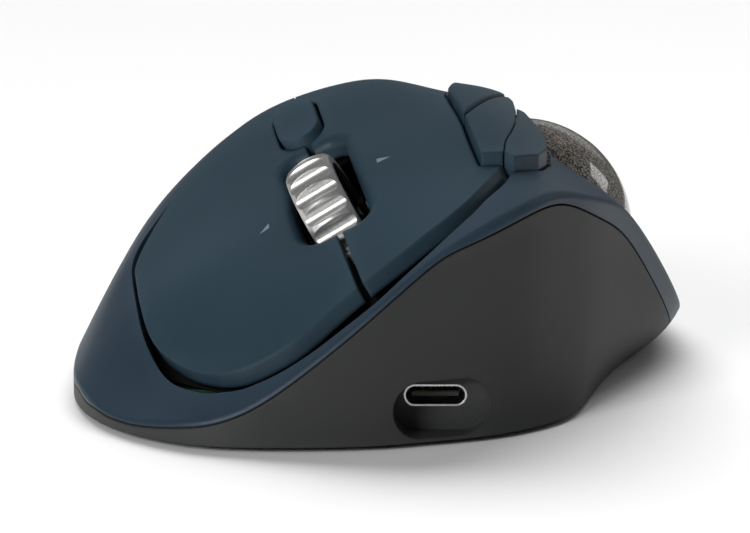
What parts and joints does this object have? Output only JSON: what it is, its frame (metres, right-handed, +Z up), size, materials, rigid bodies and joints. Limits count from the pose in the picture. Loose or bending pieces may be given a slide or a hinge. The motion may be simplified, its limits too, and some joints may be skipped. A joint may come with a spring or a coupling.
{
  "type": "trackball mouse",
  "caption": "Right-handed ergonomic wireless trackball mouse with a thumb ball, tilting scroll wheel, finger buttons, thumb keys and a charging socket.",
  "frame": {"origin": "on the desk under the middle of the case's bounding box, at the underside of the feet", "axes": "+Z up, +Y towards the palm end (the charging socket faces -Y), +X towards the thumb side with the ball"},
  "size_m": [0.0954, 0.1302, 0.0438],
  "materials": {
    "grey_case": "fine matte",
    "blue_shell": "satin",
    "blue_keys": "satin",
    "black_frame": "matte",
    "switch_black": "smooth",
    "circuit_board": "solder mask",
    "light_guide": "frosted",
    "wheel_metal": "turned and brushed",
    "steel": "plain",
    "ball_gloss": "polished with fine sparkle",
    "bearing_ceramic": "polished",
    "clear_lens": "clear",
    "chip_black": "moulded",
    "gold_contact": "plated",
    "foam_pad": "foam tape",
    "battery_wrap": "foil wrap",
    "wire_red": "insulation",
    "white_plastic": "moulded",
    "foot_rubber": "matte"
  },
  "bodies": {
    "case": {"lower_case": "grey_case", "top_shell": "blue_shell", "dpi_switch": "switch_black", "side_board": "circuit_board", "side_switches": "switch_black", "button_frame": "black_frame", "primary_switch": "switch_black", "secondary_switch": "switch_black", "slot_trim": "black_frame", "indicator_lights": "light_guide", "wheel_support": "black_frame", "wheel_click_switch": "switch_black", "ball_cup": "black_frame", "bearing_balls": "bearing_ceramic", "sensor_lens": "clear_lens", "sensor_chip": "chip_black", "sensor_board": "circuit_board", "main_board": "circuit_board", "usb_c_shell": "steel", "usb_c_tongue": "chip_black", "usb_c_contacts": "gold_contact", "battery_pad": "foam_pad", "battery_cell": "battery_wrap", "battery_lead": "wire_red", "battery_socket": "white_plastic", "radio_chip": "chip_black", "capacitors": "white_plastic", "case_screws": "steel", "board_screws": "steel", "feet": "foot_rubber", "power_switch": "switch_black", "pairing_switch": "switch_black"},
    "finger_primary": {"primary_button": "blue_keys"},
    "finger_secondary": {"secondary_button": "blue_keys"},
    "resolution_key": {"dpi_button": "blue_keys"},
    "back_key": {"back_button": "blue_keys"},
    "forward_key": {"forward_button": "blue_keys"},
    "thumb_key": {"thumb_button": "blue_keys"},
    "wheel_press_carrier": {"wheel_yoke": "black_frame", "tilt_pin": "steel", "tilt_switches": "switch_black"},
    "wheel_tilt_carrier": {"wheel_cradle": "black_frame", "wheel_axle": "steel", "wheel_encoder": "switch_black"},
    "wheel": {"scroll_wheel": "wheel_metal", "wheel_hub": "black_frame"},
    "ball": {"trackball": "ball_gloss"},
    "power_slider": {"power_knob": "black_frame"},
    "pairing_key": {"pairing_button": "black_frame"},
    "receiver": {"receiver_cap": "black_frame", "receiver_plug": "steel", "receiver_insert": "white_plastic"}
  },
  "joints": [
    {"name": "primary_press", "type": "hinge", "parent": "case", "child": "finger_primary", "pos_m": [-0.00024, 0.00911, 0.04047], "axis": [0.8572, 0, 0.515], "range_deg": [0, 1], "stiffness_Nm_per_rad": 1.8},
    {"name": "secondary_press", "type": "hinge", "parent": "case", "child": "finger_secondary", "pos_m": [-0.02493, 0.00711, 0.02914], "axis": [0.8572, 0, 0.515], "range_deg": [0, 1], "stiffness_Nm_per_rad": 1.8},
    {"name": "resolution_press", "type": "slide", "parent": "case", "child": "resolution_key", "axis": [0.515, 0, -0.8572], "range_m": [0, 0.0005], "stiffness_N_per_m": 1200},
    {"name": "back_press", "type": "slide", "parent": "case", "child": "back_key", "axis": [0, 0, -1], "range_m": [0, 0.0005], "stiffness_N_per_m": 1200},
    {"name": "forward_press", "type": "slide", "parent": "case", "child": "forward_key", "axis": [0, 0, -1], "range_m": [0, 0.0005], "stiffness_N_per_m": 1200},
    {"name": "thumb_press", "type": "slide", "parent": "case", "child": "thumb_key", "axis": [0, 0, -1], "range_m": [0, 0.0005], "stiffness_N_per_m": 1200},
    {"name": "wheel_press", "type": "slide", "parent": "case", "child": "wheel_press_carrier", "axis": [0.515, 0, -0.8572], "range_m": [0, 0.0005], "stiffness_N_per_m": 2400},
    {"name": "wheel_tilt", "type": "hinge", "parent": "wheel_press_carrier", "child": "wheel_tilt_carrier", "pos_m": [0.00142, -0.02889, 0.01266], "axis": [0, 1, 0], "range_deg": [-2, 2], "stiffness_Nm_per_rad": 0.5},
    {"name": "wheel_spin", "type": "hinge", "parent": "wheel_tilt_carrier", "child": "wheel", "pos_m": [-0.00651, -0.02889, 0.02586], "axis": [0.8572, 0, 0.515], "continuous": true},
    {"name": "ball_roll", "type": "hinge", "parent": "case", "child": "ball", "pos_m": [0.02091, -0.01209, 0.0225], "axis": [0.7507, 0, -0.6606], "continuous": true},
    {"name": "power_slide", "type": "slide", "parent": "case", "child": "power_slider", "axis": [1, 0, 0], "range_m": [0, 0.003]},
    {"name": "pairing_press", "type": "slide", "parent": "case", "child": "pairing_key", "axis": [0, 0, 1], "range_m": [0, 0.0003], "stiffness_N_per_m": 3000},
    {"name": "receiver_out", "type": "slide", "parent": "case", "child": "receiver", "axis": [0, 0, -1], "range_m": [0, 0.009]}
  ]
}
